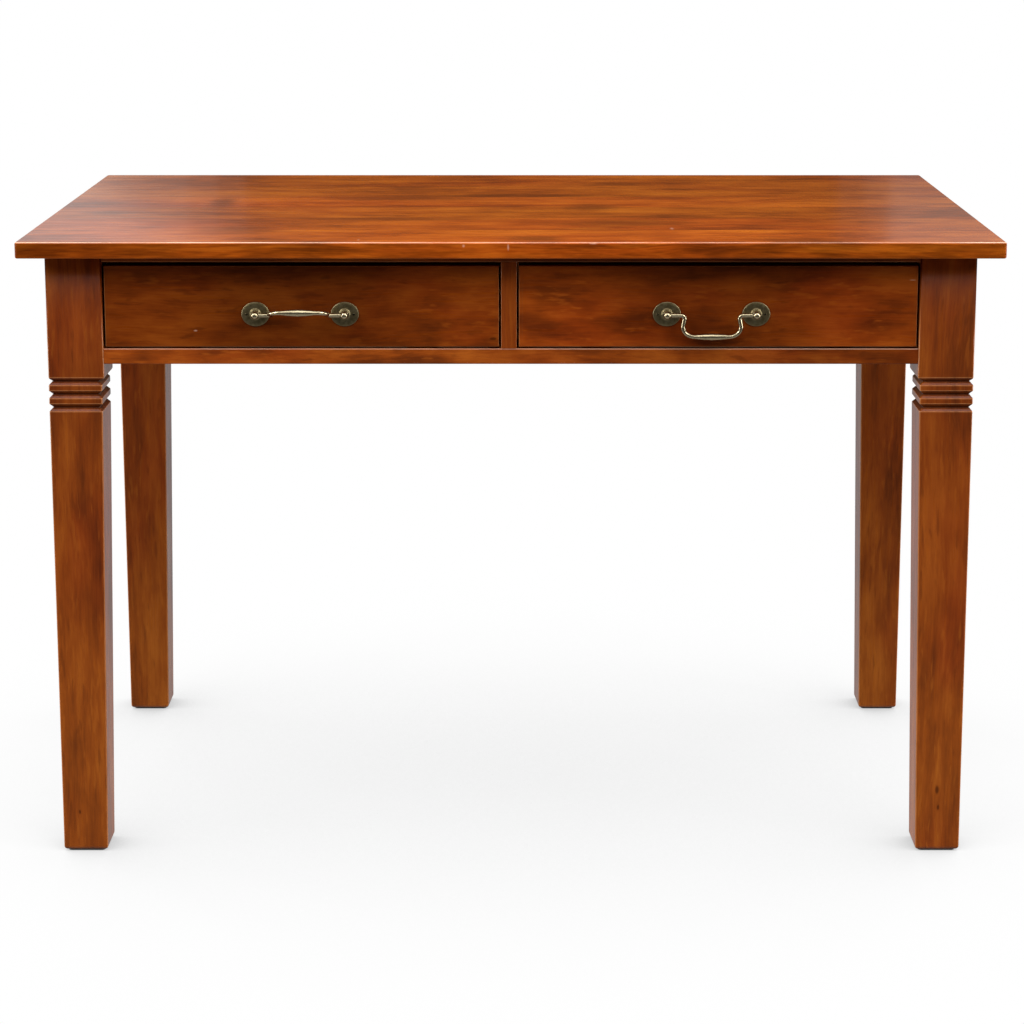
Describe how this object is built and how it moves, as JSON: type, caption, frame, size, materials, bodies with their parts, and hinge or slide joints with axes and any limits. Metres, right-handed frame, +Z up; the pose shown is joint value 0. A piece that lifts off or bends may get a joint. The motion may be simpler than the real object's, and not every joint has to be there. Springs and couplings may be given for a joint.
{
  "type": "writing desk",
  "caption": "Wooden writing desk with square ring-carved tapering legs, an overhanging top, inset drawers and swinging brass bail handles.",
  "frame": {"origin": "on the floor under the middle of the desk top", "axes": "+X to the right of a person sitting at the desk, +Y to the back, +Z up"},
  "size_m": [1.18, 0.7, 0.778],
  "materials": {
    "stained_wood": "satin lacquer over red-brown stain",
    "drawer_wood": "bare planed wood",
    "antique_brass": "darkened, rubbed bright on the high spots",
    "steel": "zinc plated",
    "felt": "pressed felt"
  },
  "bodies": {
    "frame": {"back_apron": "stained_wood", "back_left_foot_pad": "felt", "back_left_leg": "stained_wood", "back_right_foot_pad": "felt", "back_right_leg": "stained_wood", "centre_divider": "stained_wood", "centre_guide": "drawer_wood", "centre_kicker": "drawer_wood", "centre_runner": "drawer_wood", "desk_top": "stained_wood", "drawer_stops": "drawer_wood", "front_left_foot_pad": "felt", "front_left_leg": "stained_wood", "front_right_foot_pad": "felt", "front_right_leg": "stained_wood", "guide_screws": "steel", "left_apron": "stained_wood", "left_guide": "drawer_wood", "left_kicker": "drawer_wood", "left_runner": "drawer_wood", "lower_front_rail": "stained_wood", "right_apron": "stained_wood", "right_guide": "drawer_wood", "right_kicker": "drawer_wood", "right_runner": "drawer_wood", "top_screws": "steel", "upper_front_rail": "stained_wood"},
    "left_drawer": {"left_drawer_back": "drawer_wood", "left_drawer_bottom": "drawer_wood", "left_drawer_bottom_nails": "steel", "left_drawer_front": "stained_wood", "left_drawer_left_side": "drawer_wood", "left_drawer_right_side": "drawer_wood", "left_handle_left_post": "antique_brass", "left_handle_left_rosette": "antique_brass", "left_handle_nails": "antique_brass", "left_handle_nuts": "steel", "left_handle_right_post": "antique_brass", "left_handle_right_rosette": "antique_brass", "left_handle_washers": "steel"},
    "left_bail": {"left_handle_bail": "antique_brass"},
    "right_drawer": {"right_drawer_back": "drawer_wood", "right_drawer_bottom": "drawer_wood", "right_drawer_bottom_nails": "steel", "right_drawer_front": "stained_wood", "right_drawer_left_side": "drawer_wood", "right_drawer_right_side": "drawer_wood", "right_handle_left_post": "antique_brass", "right_handle_left_rosette": "antique_brass", "right_handle_nails": "antique_brass", "right_handle_nuts": "steel", "right_handle_right_post": "antique_brass", "right_handle_right_rosette": "antique_brass", "right_handle_washers": "steel"},
    "right_bail": {"right_handle_bail": "antique_brass"}
  },
  "joints": [
    {"name": "left_drawer_slide", "type": "slide", "parent": "frame", "child": "left_drawer", "axis": [0, -1, 0], "range_m": [0, 0.38]},
    {"name": "left_bail_hinge", "type": "hinge", "parent": "left_drawer", "child": "left_bail", "pos_m": [-0.255, -0.319, 0.6845], "axis": [-1, 0, 0], "range_deg": [-118, 86]},
    {"name": "right_drawer_slide", "type": "slide", "parent": "frame", "child": "right_drawer", "axis": [0, -1, 0], "range_m": [0, 0.38]},
    {"name": "right_bail_hinge", "type": "hinge", "parent": "right_drawer", "child": "right_bail", "pos_m": [0.2426, -0.319, 0.6845], "axis": [-1, 0, 0], "range_deg": [-12, 192]}
  ]
}
